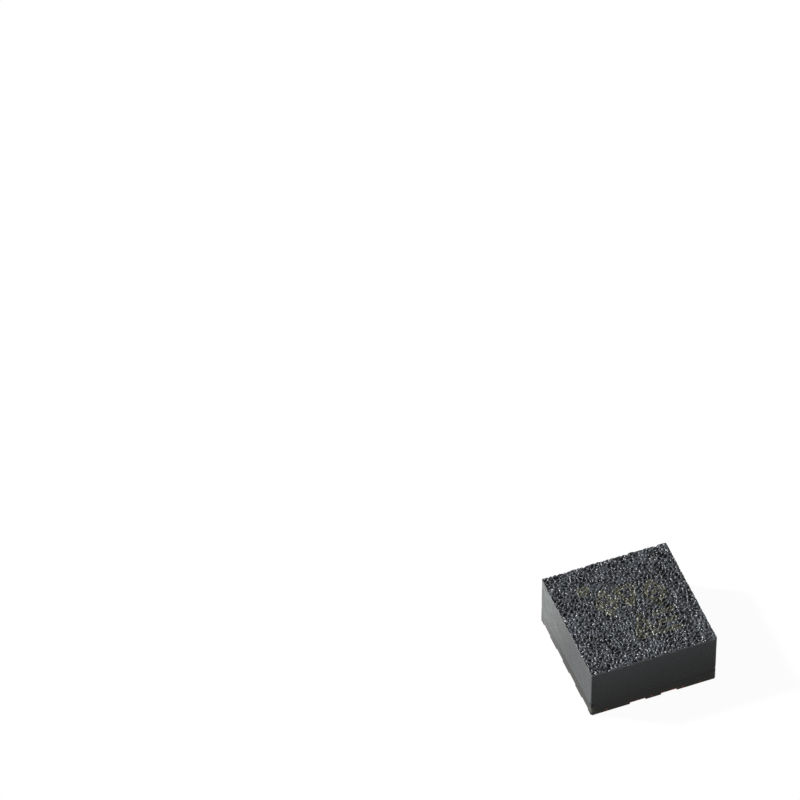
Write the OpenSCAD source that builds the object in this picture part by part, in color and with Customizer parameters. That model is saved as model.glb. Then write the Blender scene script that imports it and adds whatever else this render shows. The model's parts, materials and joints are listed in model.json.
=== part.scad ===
// Three-axis accelerometer in a square land-grid package.
// Millimetres. The origin is the centre of the footprint, on the face of the lower solder coat, with +Z up.
// Land 1 is the one nearest the marked corner (-X, +Y), and the numbers run anticlockwise seen from above:
// four on the -X side, two on the -Y side, four on the +X side and two on the +Y side.

/* [Package] */
// Side of the square package
body_side = 2.0; // [1.8:0.05:2.5]
// Height from the face of the lower solder coat to the moulded top
body_height = 0.93; // [0.90:0.01:1.20]

/* [Moulded top] */
// Spacing of the coarse wrinkles of the moulded top
wrinkle_pitch = 0.08; // [0.06:0.01:0.20]
// Depth of the coarse wrinkles
wrinkle_depth = 0.016; // [0.004:0.002:0.020]
// Which of the possible wrinkle patterns is drawn
wrinkle_seed = 7; // [1:1:50]

/* [Lands] */
// Width of a land along the package edge, as the solder coat leaves it open
land_w = 0.25; // [0.20:0.01:0.28]
// Length of a land from the package edge inwards
land_len = 0.30; // [0.25:0.01:0.33]
// How far the lands lie behind the face of the lower solder coat
land_recess = 0.030; // [0.015:0.005:0.040]
// Thickness of a land
land_thick = 0.015; // [0.010:0.001:0.020]
// Rim of a land that the solder coat covers
land_lap = 0.020; // [0.010:0.005:0.025]
// Gap between the lands and the copper plane in the middle
plane_gap = 0.100; // [0.080:0.005:0.120]
// Width of the copper tails that led to the plating bar and were sawn through
tail_w = 0.040; // [0.030:0.005:0.050]
// Distance from the package edge to the tails of the corner lands
tail_inset = 0.245; // [0.220:0.005:0.270]
// Distance of the tails of the plane from the middle and from one pitch beside it
tail_shift = 0.030; // [0.010:0.005:0.040]

/* [Board] */
// Thickness of the glass-epoxy core
core_thick = 0.12; // [0.10:0.01:0.16]
// Thickness of the copper on the upper side
copper_thick = 0.015; // [0.010:0.001:0.020]
// Thickness of the upper solder coat over the copper
coat_cover = 0.010; // [0.006:0.001:0.020]
// Gap that the upper solder coat leaves round a bond finger
coat_gap = 0.020; // [0.010:0.005:0.030]
// Radius of a filled via
via_r = 0.050; // [0.030:0.005:0.060]
// Radius of the copper ring round a via
via_ring_r = 0.080; // [0.065:0.005:0.090]
// Distance from the package edge to the centre of a via
via_inset = 0.130; // [0.110:0.005:0.150]
// Width of the copper tracks
track_w = 0.050; // [0.030:0.005:0.070]
// Width of a bond finger
finger_w = 0.100; // [0.080:0.005:0.120]
// Length of a bond finger
finger_len = 0.140; // [0.110:0.005:0.150]
// Distance from the circuit die to the bond fingers
finger_gap = 0.110; // [0.090:0.005:0.120]

/* [Circuit die] */
// Side of the square circuit die
asic_side = 1.10; // [1.00:0.01:1.20]
// Thickness of the circuit die
asic_thick = 0.15; // [0.10:0.01:0.17]
// Thickness of the adhesive films under both dies
film_thick = 0.015; // [0.010:0.001:0.025]
// Side of a square bond pad
pad_side = 0.050; // [0.044:0.002:0.056]
// Thickness of the pad metal
pad_thick = 0.003; // [0.002:0.001:0.005]
// Distance from the die edge to the centres of the outer pads
pad_inset = 0.042; // [0.036:0.002:0.044]
// Distance between the outer pads on each side of the circuit die
pad_pitch = 0.28; // [0.20:0.01:0.30]

/* [Sensor die] */
// Width of the sensor die
sensor_w = 0.76; // [0.70:0.01:0.84]
// Distance from the back edge of the circuit die to the sensor
sensor_setback = 0.11; // [0.10:0.005:0.12]
// Depth of the circuit die left free in front of the sensor, for two rows of pads
apron_d = 0.21; // [0.19:0.005:0.24]
// Thickness of the base wafer under the cavity
base_thick = 0.18; // [0.12:0.01:0.20]
// Thickness of the cap wafer
cap_thick = 0.15; // [0.12:0.01:0.17]
// Depth of the recess in the cap
cap_recess = 0.030; // [0.015:0.005:0.060]
// Depth of the ledge that carries the bond pads
ledge_d = 0.12; // [0.10:0.005:0.13]
// Distance from the sides of the sensor to the centres of the end pads on the ledge
ledge_end = 0.065; // [0.050:0.005:0.080]
// Distance from the sensor to the row of pads that it is wired to
inner_row_gap = 0.072; // [0.066:0.002:0.076]
// Width of the seal frame round the cavity
seal_w = 0.060; // [0.040:0.005:0.065]
// Thickness of the glass seal
seal_thick = 0.010; // [0.006:0.001:0.015]
// Thickness of the sprung silicon layer
layer_thick = 0.022; // [0.012:0.001:0.030]
// Gap between the base wafer and the sprung layer
sense_gap = 0.005; // [0.004:0.001:0.008]

/* [Sprung masses] */
// Width of the comb mass
comb_mass_w = 0.20; // [0.19:0.005:0.22]
// Gap between the sprung structures and the walls of the cavity, and between each other
mass_gap = 0.030; // [0.020:0.002:0.036]
// Width of one comb tooth
tooth_w = 0.006; // [0.004:0.001:0.007]
// Length of one comb tooth
tooth_len = 0.060; // [0.050:0.002:0.066]
// Distance between neighbouring teeth of one comb
tooth_pitch = 0.028; // [0.026:0.001:0.034]
// Gap at the tips of the teeth
tip_gap = 0.010; // [0.006:0.001:0.012]
// Width of the anchored bar that carries the fixed teeth
bar_w = 0.016; // [0.012:0.001:0.020]
// Width of the spring beams
spring_w = 0.005; // [0.004:0.0005:0.006]
// Distance between the legs of a folded spring
spring_pitch = 0.012; // [0.011:0.0005:0.0125]
// Gap between the legs of a folded spring and its anchor
spring_gap = 0.0055; // [0.0045:0.0005:0.008]
// Side of the square anchors
anchor_side = 0.026; // [0.022:0.001:0.026]
// Distance from the middle of the tilting plate to its torsion axis
tilt_offset = 0.030; // [0.020:0.002:0.040]
// Depth of the window that holds the torsion beams
window_d = 0.050; // [0.040:0.002:0.060]
// Width of the plate left on both sides of that window
window_rim = 0.030; // [0.024:0.002:0.036]
// Thickness of the electrodes under the tilting plate
electrode_thick = 0.002; // [0.001:0.0005:0.003]
// Side of the square release holes
hole_side = 0.010; // [0.008:0.001:0.012]
// Distance between neighbouring release holes
hole_pitch = 0.034; // [0.030:0.001:0.040]

/* [Bond wires] */
// Radius of the gold wire
wire_r = 0.010; // [0.008:0.001:0.012]
// Height of the loops over the higher bond
loop_h = 0.070; // [0.050:0.005:0.080]
// Radius of the squashed ball at the start of a wire
ball_r = 0.024; // [0.020:0.001:0.026]
// Height of the squashed ball
ball_h = 0.016; // [0.012:0.001:0.020]
// Length of the flattened foot at the end of a wire
foot_len = 0.030; // [0.024:0.002:0.036]

/* [Hidden] */
lands = 12;
// Lands on each side, and the first land of each, from the -X side anticlockwise
side_lands = [4, 2, 4, 2];
first_land = [1, 5, 7, 11];
// The land that the copper plane is joined to
ground_land = 9;
sensor_wires = 7;
spring_legs = 5;
wire_sides = 8;
wire_steps = 8;
round_fn = 48;
// How far a cut runs past the face that it opens
over = 0.1;

// Bare edge at the ends of a row of teeth, and of a fixed bar
tooth_margin = 2.5 * tooth_w;
bar_end = tooth_w;

// Shape of a wire loop: pull of its curve, places of its knee and its fall, and the flattened foot
loop_pull = 1.7;
knee_at = 0.45;
fall_at = 0.8;
foot_flat = 0.4;
foot_spread = 1.6;
neck_spread = 1.4;

// Levels from the face of the lower solder coat upwards
z_land = land_recess;
z_core_low = z_land + land_thick;
z_core = z_core_low + core_thick;
z_copper = z_core + copper_thick;
z_coat = z_copper + coat_cover;
z_asic_low = z_coat + film_thick;
z_asic = z_asic_low + asic_thick;
z_base_low = z_asic + film_thick;
z_base = z_base_low + base_thick;
z_layer_low = z_base + sense_gap;
z_layer = z_layer_low + layer_thick;
z_seal = z_layer + seal_thick;
z_cap = z_seal + cap_thick;

// Sensor die and its cavity, seen from above
sensor_back = asic_side / 2 - sensor_setback;
sensor_front = -asic_side / 2 + apron_d;
frame_front = sensor_front + ledge_d;
cavity_w = sensor_w - 2 * seal_w;
cavity_front = frame_front + seal_w;
cavity_back = sensor_back - seal_w;
cavity_y = (cavity_front + cavity_back) / 2;
ledge_y = sensor_front + ledge_d / 2;
ledge_pitch = (sensor_w - 2 * ledge_end) / (sensor_wires - 1);
inner_row_y = sensor_front - inner_row_gap;

// The comb mass with its combs on the left of the cavity, and the tilting plate on its right
comb_reach = tooth_len + tip_gap + bar_w;
comb_span = comb_mass_w + 2 * comb_reach;
comb_x = -cavity_w / 2 + mass_gap + comb_span / 2;
comb_mass_d = cavity_back - cavity_front - 2 * (mass_gap + comb_reach);
tilt_w = cavity_w - comb_span - 3 * mass_gap;
tilt_d = cavity_back - cavity_front - 2 * mass_gap;
tilt_x = cavity_w / 2 - mass_gap - tilt_w / 2;
spring_len = comb_reach - anchor_side - spring_gap - spring_w / 2;

// The lands stand a quarter of the side apart
land_pitch = body_side / 4;
// Inner ends of the lands' copper, bond fingers and vias, as distances from the middle of the package
land_in = body_side / 2 - land_len - land_lap;
plane_side = 2 * (land_in - plane_gap);
finger_in = asic_side / 2 + finger_gap;
finger_out = finger_in + finger_len;
via_out = body_side / 2 - via_inset;

// Levels of the wrinkled top at a square net of points, one row after the other
wrinkle_cells = round(body_side / wrinkle_pitch);
wrinkle_row = wrinkle_cells + 1;
wrinkle_draw = rands(0, 1, wrinkle_row * wrinkle_row, wrinkle_seed);
wrinkle_least = min(wrinkle_draw);
wrinkle_span = max(wrinkle_draw) - wrinkle_least;
wrinkle_z = [for (d = wrinkle_draw) body_height - wrinkle_depth * (1 - (d - wrinkle_least) / wrinkle_span)];

// Number of teeth on a side of the comb mass that is this long
function teeth(side) = floor((side - 2 * tooth_margin) / tooth_pitch) + 1;
// Places of count things, pitch apart and centred on zero
function row(count, pitch) = [for (i = [0:count - 1]) (i - (count - 1) / 2) * pitch];
// Side of the package that land k is on, and its place along that side
function side_of(k) = max([for (side = [0:len(first_land) - 1]) if (k >= first_land[side]) side]);
function along(k, pitch) = row(side_lands[side_of(k)], pitch)[k - first_land[side_of(k)]];
// Place in plan on the side of land k: a along that side, b out from the middle of the package
function placed(k, a, b) =
    let (turn = 90 * side_of(k))
    [a * sin(turn) - b * cos(turn), -a * cos(turn) - b * sin(turn)];

// Square plate between two levels
module slab(side, low, high) {
    translate([-side / 2, -side / 2, low]) cube([side, side, high - low]);
}

// Rectangular block from its corners in plan and its two levels
module block(x0, x1, y0, y1, low, high) {
    translate([x0, y0, low]) cube([x1 - x0, y1 - y0, high - low]);
}

// Moves what is drawn beside the -X edge (out along -X) to the side of land k
module on_side(k) {
    rotate(90 * side_of(k)) translate([0, -along(k, land_pitch)]) children();
}

// Opening of one land in the lower coat, run out past the sawn edge
module land_opening() {
    translate([-body_side / 2 - over, -land_w / 2]) square([land_len + over, land_w]);
}

// Copper of land k, which reaches the sawn edge; a corner land has a tail to the next edge as well
module land_outline(k) {
    on_side(k) {
        copper_w = land_w + 2 * land_lap;
        translate([-body_side / 2, -copper_w / 2]) square([body_side / 2 - land_in, copper_w]);
        tail_len = body_side / 2 - abs(along(k, land_pitch));
        if (side_lands[side_of(k)] == 4 && abs(along(k, 1)) > 1)
            translate([-body_side / 2 + tail_inset - tail_w / 2, along(k, 1) > 0 ? -tail_len : 0])
                square([tail_w, tail_len]);
    }
}

// Copper plane in the middle, its neck to the ground land and its tails to the two short-row edges
module plane_outline() {
    square(plane_side, center = true);
    on_side(ground_land) translate([-land_in, -track_w / 2]) square([land_in, track_w]);
    for (x = [-tail_shift, land_pitch - tail_shift])
        translate([x - tail_w / 2, -body_side / 2]) square([tail_w, body_side]);
}

// Outline of one bond finger, grown by a gap
module finger_outline(gap) {
    translate([-finger_out - gap, -finger_w / 2 - gap])
        square([finger_len + 2 * gap, finger_w + 2 * gap]);
}

// Upper copper of one land: finger, track and via ring
module trace_outline() {
    finger_outline(0);
    translate([-via_out, -track_w / 2]) square([via_out - finger_in, track_w]);
    translate([-via_out, 0]) circle(r = via_ring_r, $fn = round_fn);
}

module land(k) {
    color([0.86, 0.68, 0.32])
        translate([0, 0, z_land]) linear_extrude(land_thick) land_outline(k);
}

module ground_plane() {
    color([0.80, 0.50, 0.30])
        translate([0, 0, z_land]) linear_extrude(land_thick) plane_outline();
}

module trace(k) {
    color([0.80, 0.50, 0.30]) on_side(k) {
        translate([0, 0, z_core]) linear_extrude(copper_thick) trace_outline();
        translate([-via_out, 0, z_core_low]) cylinder(h = core_thick, r = via_r, $fn = round_fn);
    }
}

module laminate_core() {
    color([0.52, 0.50, 0.36]) difference() {
        slab(body_side, z_core_low, z_core);
        for (k = [1:lands])
            on_side(k) translate([-via_out, 0, z_core_low - over])
                cylinder(h = core_thick + 2 * over, r = via_r, $fn = round_fn);
    }
}

module solder_mask_bottom() {
    color([0.10, 0.26, 0.16]) {
        linear_extrude(z_land) difference() {
            square(body_side, center = true);
            for (k = [1:lands]) on_side(k) land_opening();
        }
        translate([0, 0, z_land]) linear_extrude(land_thick) difference() {
            square(body_side, center = true);
            for (k = [1:lands]) land_outline(k);
            plane_outline();
        }
    }
}

module finger_windows(low, high) {
    for (k = [1:lands])
        on_side(k) translate([0, 0, low]) linear_extrude(high - low) finger_outline(coat_gap);
}

module solder_mask_top() {
    color([0.10, 0.26, 0.16]) difference() {
        slab(body_side, z_core, z_coat);
        finger_windows(z_core, z_coat);
        for (k = [1:lands]) trace(k);
    }
}

module asic_attach_film() {
    color([0.85, 0.83, 0.75]) slab(asic_side, z_coat, z_asic_low);
}

module asic_die() {
    color([0.45, 0.47, 0.55]) slab(asic_side, z_asic_low, z_asic);
}

// One square bond pad, centred on a point in plan
module pad(place, low) {
    translate([place[0] - pad_side / 2, place[1] - pad_side / 2, low])
        cube([pad_side, pad_side, pad_thick]);
}

// Places in plan where the wires start and end
function outer_pad(k) = placed(k, along(k, pad_pitch), asic_side / 2 - pad_inset);
function finger_mid(k) = placed(k, along(k, land_pitch), (finger_in + finger_out) / 2);
function ledge_x(k) = row(sensor_wires, ledge_pitch)[k - 1];

module asic_pads() {
    color([0.85, 0.85, 0.87]) {
        for (k = [1:lands]) pad(outer_pad(k), z_asic);
        for (k = [1:sensor_wires]) pad([ledge_x(k), inner_row_y], z_asic);
    }
}

module sensor_attach_film() {
    color([0.85, 0.83, 0.75])
        block(-sensor_w / 2, sensor_w / 2, sensor_front, sensor_back, z_asic, z_base_low);
}

// Seal frame in plan, between the edge of the cap and the cavity
module frame_ring(low, high) {
    difference() {
        block(-sensor_w / 2, sensor_w / 2, frame_front, sensor_back, low, high);
        block(-cavity_w / 2, cavity_w / 2, cavity_front, cavity_back, low - over, high + over);
    }
}

module sensor_base() {
    color([0.50, 0.52, 0.60]) {
        block(-sensor_w / 2, sensor_w / 2, sensor_front, sensor_back, z_base_low, z_base);
        frame_ring(z_base, z_layer);
    }
}

module sensor_pads() {
    color([0.85, 0.85, 0.87])
        for (k = [1:sensor_wires]) pad([ledge_x(k), ledge_y], z_base);
}

module seal_ring() {
    color([0.75, 0.68, 0.50]) frame_ring(z_layer, z_seal);
}

module sensor_cap() {
    color([0.55, 0.56, 0.62]) difference() {
        block(-sensor_w / 2, sensor_w / 2, frame_front, sensor_back, z_seal, z_cap);
        block(-cavity_w / 2, cavity_w / 2, cavity_front, cavity_back, z_seal - over, z_seal + cap_recess);
    }
}

// Beam along a path of points whose steps run along X or Y
module beam(points) {
    for (i = [0:len(points) - 2]) {
        low = [min(points[i][0], points[i + 1][0]), min(points[i][1], points[i + 1][1])];
        high = [max(points[i][0], points[i + 1][0]), max(points[i][1], points[i + 1][1])];
        translate(low - [spring_w, spring_w] / 2) square(high - low + [spring_w, spring_w]);
    }
}

// Folded spring in its corner, from the corner of the comb mass to the middle of its anchor
function leg_y(i) = spring_w / 2 + spring_w + i * spring_pitch;
function spring_path() = concat(
    [[-spring_w / 2, -spring_w / 2]],
    [for (i = [0:spring_legs - 1]) each i % 2 == 0
        ? [[-spring_w / 2, leg_y(i)], [spring_len, leg_y(i)]]
        : [[spring_len, leg_y(i)], [-spring_w / 2, leg_y(i)]]],
    [[comb_reach - anchor_side / 2, leg_y(spring_legs - 1)]]
);

// Repeats what is drawn beyond the (+X, +Y) corner of the comb mass at its four corners
module at_corners() {
    for (flip_x = [0, 1], flip_y = [0, 1])
        mirror([flip_x, 0]) mirror([0, flip_y])
            translate([comb_mass_w / 2, comb_mass_d / 2]) children();
}

module spring_anchor() {
    translate([comb_reach - anchor_side, leg_y(spring_legs - 1) - anchor_side / 2])
        square(anchor_side);
}

// Grid of release holes over a plate, kept clear of a band round the torsion window
module release_holes(w, d, band_y, band_d) {
    for (x = row(floor(w / hole_pitch), hole_pitch), y = row(floor(d / hole_pitch), hole_pitch))
        if (abs(y - band_y) >= band_d / 2)
            translate([x, y]) square(hole_side, center = true);
}

// Teeth that stand on the two long sides of a plate, out along X
module moving_teeth(w, d) {
    for (y = row(teeth(d), tooth_pitch))
        translate([-w / 2 - tooth_len, y - tooth_w / 2]) square([w + 2 * tooth_len, tooth_w]);
}

module xy_proof_mass() {
    color([0.62, 0.64, 0.72]) translate([comb_x, cavity_y, 0]) {
        translate([0, 0, z_layer_low]) linear_extrude(layer_thick) difference() {
            union() {
                square([comb_mass_w, comb_mass_d], center = true);
                moving_teeth(comb_mass_w, comb_mass_d);
                rotate(90) moving_teeth(comb_mass_d, comb_mass_w);
                at_corners() {
                    beam(spring_path());
                    spring_anchor();
                }
            }
            release_holes(comb_mass_w, comb_mass_d, 0, 0);
        }
        translate([0, 0, z_base]) linear_extrude(sense_gap) at_corners() spring_anchor();
    }
}

// Pair of fixed combs whose teeth mesh with those on the two sides of a plate
module comb_pair(w, d) {
    count = teeth(d) - 1;
    bar_len = (count - 1) * tooth_pitch + tooth_w + 2 * bar_end;
    for (flip = [0, 1]) mirror([flip, 0, 0]) {
        translate([w / 2 + tooth_len + tip_gap, -bar_len / 2, z_base])
            cube([bar_w, bar_len, z_layer - z_base]);
        translate([0, 0, z_layer_low]) linear_extrude(layer_thick)
            for (y = row(count, tooth_pitch))
                translate([w / 2 + tip_gap, y - tooth_w / 2]) square([tooth_len + bar_w / 2, tooth_w]);
    }
}

module fixed_combs() {
    color([0.70, 0.60, 0.45]) translate([comb_x, cavity_y, 0]) {
        comb_pair(comb_mass_w, comb_mass_d);
        rotate(90) comb_pair(comb_mass_d, comb_mass_w);
    }
}

module z_proof_mass() {
    window_w = tilt_w - 2 * window_rim;
    color([0.62, 0.64, 0.72]) translate([tilt_x, cavity_y, 0]) {
        translate([0, 0, z_layer_low]) linear_extrude(layer_thick) {
            difference() {
                square([tilt_w, tilt_d], center = true);
                translate([0, tilt_offset]) square([window_w, window_d], center = true);
                release_holes(tilt_w, tilt_d, tilt_offset, window_d + 3 * hole_side);
            }
            translate([0, tilt_offset]) {
                square([window_w + spring_w, spring_w], center = true);
                square(anchor_side, center = true);
            }
        }
        translate([-anchor_side / 2, tilt_offset - anchor_side / 2, z_base])
            cube([anchor_side, anchor_side, sense_gap]);
    }
}

module z_electrodes() {
    edge = tilt_d / 2 - hole_side;
    axis_gap = window_d / 2;
    color([0.60, 0.55, 0.40]) translate([tilt_x, cavity_y, z_base])
        linear_extrude(electrode_thick) {
            translate([-tilt_w / 2 + hole_side, -edge])
                square([tilt_w - 2 * hole_side, edge + tilt_offset - axis_gap]);
            translate([-tilt_w / 2 + hole_side, tilt_offset + axis_gap])
                square([tilt_w - 2 * hole_side, edge - tilt_offset - axis_gap]);
        }
}

// Point of a Bezier curve of any order
function bezier(points, t) = len(points) == 1
    ? points[0]
    : bezier([for (i = [0:len(points) - 2]) points[i] * (1 - t) + points[i + 1] * t], t);

// Rings of a wire in its own upright plane: [distance, height, slope angle, thickness, width]
function wire_rings(run, rise) =
    let (
        foot = run - foot_len / 2,
        low = rise + wire_r * cos(180 / wire_sides),
        top = max(rise, 0) + loop_pull * loop_h,
        curve = [[0, ball_h / 2], [0, top], [knee_at * foot, top], [fall_at * foot, low], [foot, low]],
        slopes = [for (i = [0:wire_steps])
            let (d = bezier(curve, i / wire_steps + 0.01) - bezier(curve, i / wire_steps - 0.01))
            i == 0 ? 90 : i == wire_steps ? 0 : atan2(d[1], d[0])],
        flat = foot_flat * wire_r
    )
    concat(
        [for (i = [0:wire_steps])
            let (p = bezier(curve, i / wire_steps)) [p[0], p[1], slopes[i], wire_r, wire_r]],
        [[foot + foot_len, rise + flat * cos(180 / wire_sides), 0, flat, foot_spread * wire_r]]
    );

// Corners of one ring, in the wire's own plane turned to its heading
function ring_corners(ring) = [for (j = [0:wire_sides - 1])
    let (
        turn = 360 * (j + 0.5) / wire_sides,
        out = ring[3] * cos(turn)
    )
    [ring[0] - out * sin(ring[2]), ring[4] * sin(turn), ring[1] + out * cos(ring[2])]];

// Gold wire from a ball bond to a flattened foot
module wire(start, start_z, end, end_z) {
    run = norm(end - start);
    heading = atan2(end[1] - start[1], end[0] - start[0]);
    rings = wire_rings(run, end_z - start_z);
    n = wire_sides;
    last = (len(rings) - 1) * n;
    neck_r = neck_spread * wire_r;
    color([0.95, 0.78, 0.35]) translate([start[0], start[1], start_z]) rotate(heading) {
        polyhedron(
            points = [for (r = rings) each ring_corners(r)],
            faces = concat(
                [[for (j = [0:n - 1]) j]],
                [for (i = [0:len(rings) - 2], j = [0:n - 1])
                    [i * n + j, (i + 1) * n + j, i * n + (j + 1) % n]],
                [for (i = [0:len(rings) - 2], j = [0:n - 1])
                    [(i + 1) * n + j, (i + 1) * n + (j + 1) % n, i * n + (j + 1) % n]],
                [[for (j = [n - 1:-1:0]) last + j]]
            )
        );
        rotate_extrude($fn = round_fn)
            polygon([[0, 0], [ball_r, 0], [ball_r, ball_h / 2], [neck_r, ball_h], [0, ball_h]]);
    }
}

module bond_wire(k) {
    wire(outer_pad(k), z_asic + pad_thick, finger_mid(k), z_copper);
}

module sensor_wire(k) {
    wire([ledge_x(k), inner_row_y], z_asic + pad_thick, [ledge_x(k), ledge_y], z_base + pad_thick);
}

// Space that the capped sensor takes up in the moulding
module sensor_envelope() {
    block(-sensor_w / 2, sensor_w / 2, sensor_front, sensor_back, z_asic, z_base);
    block(-sensor_w / 2, sensor_w / 2, frame_front, sensor_back, z_base, z_cap);
}

// Square block of moulding compound with straight sawn sides and a wrinkled top
module moulded_block() {
    last = wrinkle_cells;
    spots = [for (i = [0:last]) for (j = [0:last])
        [(i / last - 0.5) * body_side, (j / last - 0.5) * body_side, wrinkle_z[i * wrinkle_row + j]]];
    feet = [for (corner = [[-1, -1], [1, -1], [1, 1], [-1, 1]])
        [corner.x * body_side / 2, corner.y * body_side / 2, z_coat]];
    foot = len(spots);
    net = [for (i = [0:last - 1]) for (j = [0:last - 1])
        let (a = i * wrinkle_row + j, b = a + wrinkle_row)
        each [[a, a + 1, b + 1], [a, b + 1, b]]];
    sides = [
        [foot, for (i = [0:last]) i * wrinkle_row, foot + 1],
        [foot + 1, for (j = [0:last]) last * wrinkle_row + j, foot + 2],
        [foot + 2, for (i = [last:-1:0]) i * wrinkle_row + last, foot + 3],
        [foot + 3, for (j = [last:-1:0]) j, foot]];
    under = [[foot, foot + 1, foot + 2, foot + 3]];
    polyhedron(points = concat(spots, feet), faces = concat(net, sides, under), convexity = 4);
}

module mould_body() {
    color([0.20, 0.21, 0.22]) difference() {
        union() {
            moulded_block();
            finger_windows(z_core, z_coat);
        }
        for (k = [1:lands]) trace(k);
        slab(asic_side, z_coat, z_asic);
        asic_pads();
        sensor_envelope();
        sensor_pads();
        for (k = [1:lands]) bond_wire(k);
        for (k = [1:sensor_wires]) sensor_wire(k);
    }
}

mould_body();
laminate_core();
solder_mask_top();
solder_mask_bottom();
for (k = [1:lands]) land(k);
for (k = [1:lands]) trace(k);
ground_plane();
asic_attach_film();
asic_die();
asic_pads();
sensor_attach_film();
sensor_base();
sensor_pads();
seal_ring();
sensor_cap();
xy_proof_mass();
fixed_combs();
z_proof_mass();
z_electrodes();
for (k = [1:lands]) bond_wire(k);
for (k = [1:sensor_wires]) sensor_wire(k);
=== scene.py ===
import json
import math

import bmesh
import bpy
import numpy as np
from mathutils import Matrix, Vector


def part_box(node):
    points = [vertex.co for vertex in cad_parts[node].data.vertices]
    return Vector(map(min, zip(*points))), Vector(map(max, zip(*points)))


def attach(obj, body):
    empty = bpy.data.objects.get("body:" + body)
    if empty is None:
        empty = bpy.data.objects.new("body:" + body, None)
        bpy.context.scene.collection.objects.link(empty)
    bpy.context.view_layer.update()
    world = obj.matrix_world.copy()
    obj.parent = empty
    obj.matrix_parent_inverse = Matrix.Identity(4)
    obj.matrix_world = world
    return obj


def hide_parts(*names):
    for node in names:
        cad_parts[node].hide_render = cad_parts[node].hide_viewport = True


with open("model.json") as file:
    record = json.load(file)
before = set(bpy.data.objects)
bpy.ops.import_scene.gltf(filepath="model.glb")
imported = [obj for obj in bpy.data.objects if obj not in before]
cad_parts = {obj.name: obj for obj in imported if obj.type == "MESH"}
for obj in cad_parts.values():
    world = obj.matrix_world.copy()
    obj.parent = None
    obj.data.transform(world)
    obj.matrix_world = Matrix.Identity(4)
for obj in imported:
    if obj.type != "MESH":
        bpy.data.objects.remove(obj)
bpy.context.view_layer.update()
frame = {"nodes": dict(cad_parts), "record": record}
nodes = frame["nodes"]
print("frame loaded:", len(nodes), "nodes")

mm = 0.001
um = 0.000001
halfSide = 1000         # half the chip's side, micrometres
waveRepeat = 0.314      # a wave pattern of scale 1 repeats every 0.314 units


def hexColour(code):
    # sRGB hex to the linear values the shaders work in
    parts = [int(code[i:i + 2], 16) / 255 for i in (1, 3, 5)]
    return tuple(c / 12.92 if c <= 0.04045 else ((c + 0.055) / 1.055) ** 2.4 for c in parts) + (1.0,)


def addNode(tree, kind, links=None, **settings):
    # a node with its settings, its input values and its links
    made = tree.nodes.new(kind)
    for name, value in settings.items():
        setattr(made, name, value)
    for name, value in (links or {}).items():
        if isinstance(value, bpy.types.NodeSocket):
            tree.links.new(value, made.inputs[name])
        else:
            made.inputs[name].default_value = value
    return made


def newFinish(name, **values):
    # an empty material with its shader; the values go on the shader's own sockets
    finish = bpy.data.materials.new(name)
    finish.use_nodes = True
    tree = finish.node_tree
    tree.nodes.clear()
    shader = addNode(tree, "ShaderNodeBsdfPrincipled", values)
    addNode(tree, "ShaderNodeOutputMaterial", {"Surface": shader.outputs[0]})
    place = addNode(tree, "ShaderNodeTexCoord")
    return finish, tree, shader, place.outputs["Object"]


# relief of the moulded top: folds with sharp crests and finer waves between, as a spark-eroded tool leaves it

topSkin = {
    "cells": 288,           # grid cells along a side
    "folds": (108, 0.3, 12.5, 0.22),  # wavelength, spread of it, height and bluntness of the crests; micrometres
    "foldMean": 0.8,        # what a fold comes to on average, so that the skin keeps its level
    "waves": ((70, 0.35, 5.0), (44, 0.3, 4.7), (31, 0.25, 1.7)),  # wavelength, spread, height; micrometres
    "lowest": -28,
    "highest": 18,
    "trimmed": (0.5, 12),   # share that the blade takes off the points along the cut, and its reach in micrometres
    "seed": 11,
}


def bandNoise(cells, step, wave, spread, seed):
    # noise with one wavelength; step and wave in micrometres
    rng = np.random.default_rng(seed)
    white = rng.standard_normal((cells, cells))
    freq = np.fft.fftfreq(cells, step)
    radius = np.hypot(*np.meshgrid(freq, freq, indexing="ij"))
    band = np.exp(-((radius - 1 / wave) / (spread / wave)) ** 2)
    made = np.fft.ifft2(np.fft.fft2(white) * band).real
    return made / made.std()


def mouldedRelief():
    cells = topSkin["cells"]
    step = 2 * halfSide / cells
    wave, spread, rise, blunt = topSkin["folds"]
    folds = bandNoise(cells + 1, step, wave, spread, topSkin["seed"])
    height = rise * (topSkin["foldMean"] - np.hypot(folds, blunt))
    for wave, spread, rise in topSkin["waves"]:
        height += rise * bandNoise(cells + 1, step, wave, spread, topSkin["seed"] + int(wave))
    return height


def solidTop(cadNode, axis, depth):
    # the solid's own coarse wrinkles, brought over to the fine grid by a curve through its points
    coords = np.array([v.co for v in cadNode.data.vertices]) / um
    spots = np.unique(np.round(coords[coords[:, 2] > coords[:, 2].max() - depth], 2), axis=0)
    side = round(math.sqrt(len(spots)))
    spots = spots[np.lexsort((np.round(spots[:, 1]), np.round(spots[:, 0])))]
    levels = spots[:, 2].reshape(side, side) - coords[:, 2].max()
    place = (axis + halfSide) / (2 * halfSide) * (side - 1)
    whole = np.minimum(place.astype(int), side - 2)
    part = place - whole
    weights = np.zeros((len(axis), side))
    for offset, share in (
            (-1, -0.5 * part + part ** 2 - 0.5 * part ** 3), (0, 1 - 2.5 * part ** 2 + 1.5 * part ** 3),
            (1, 0.5 * part + 2 * part ** 2 - 1.5 * part ** 3), (2, -0.5 * part ** 2 + 0.5 * part ** 3)):
        np.add.at(weights, (np.arange(len(axis)), np.clip(whole + offset, 0, side - 1)), share)
    return weights @ levels @ weights.T


# marks burnt into the top by a laser: the dot at land 1 and plain shapes in two rows

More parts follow.
